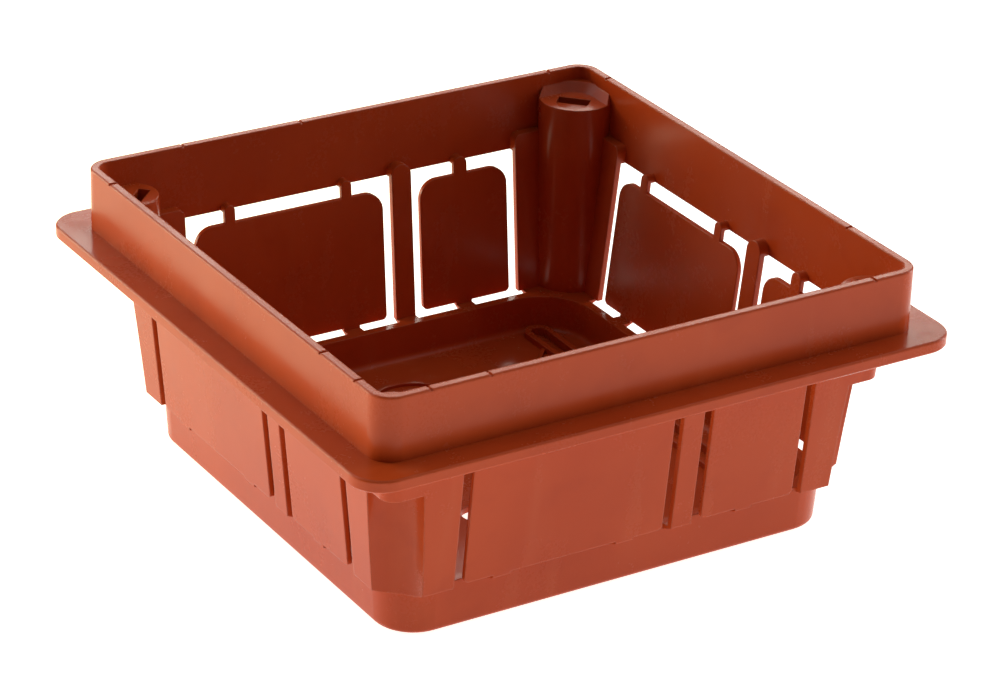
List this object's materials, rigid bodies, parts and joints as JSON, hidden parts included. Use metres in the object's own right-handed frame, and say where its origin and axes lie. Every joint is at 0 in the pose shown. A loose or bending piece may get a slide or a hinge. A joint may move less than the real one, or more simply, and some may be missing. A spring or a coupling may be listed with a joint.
{
  "type": "flush junction box",
  "caption": "Square one-piece plastic flush junction box with a plain collar, a flange, tapered walls with knock-out panels, corner screw pillars and a tray-shaped back.",
  "frame": {"origin": "centre of the box at the outer face of its back", "axes": "+Z from the back to the open front, out of the wall; X and Y along the sides, with the long knock-out panels of the -Y and +Y walls towards -X"},
  "size_m": [0.101, 0.101, 0.044],
  "materials": {
    "terracotta_plastic": "satin moulded polypropylene, brick red, lightly polished outside"
  },
  "bodies": {
    "root": {"junction_box": "terracotta_plastic"}
  },
  "joints": []
}
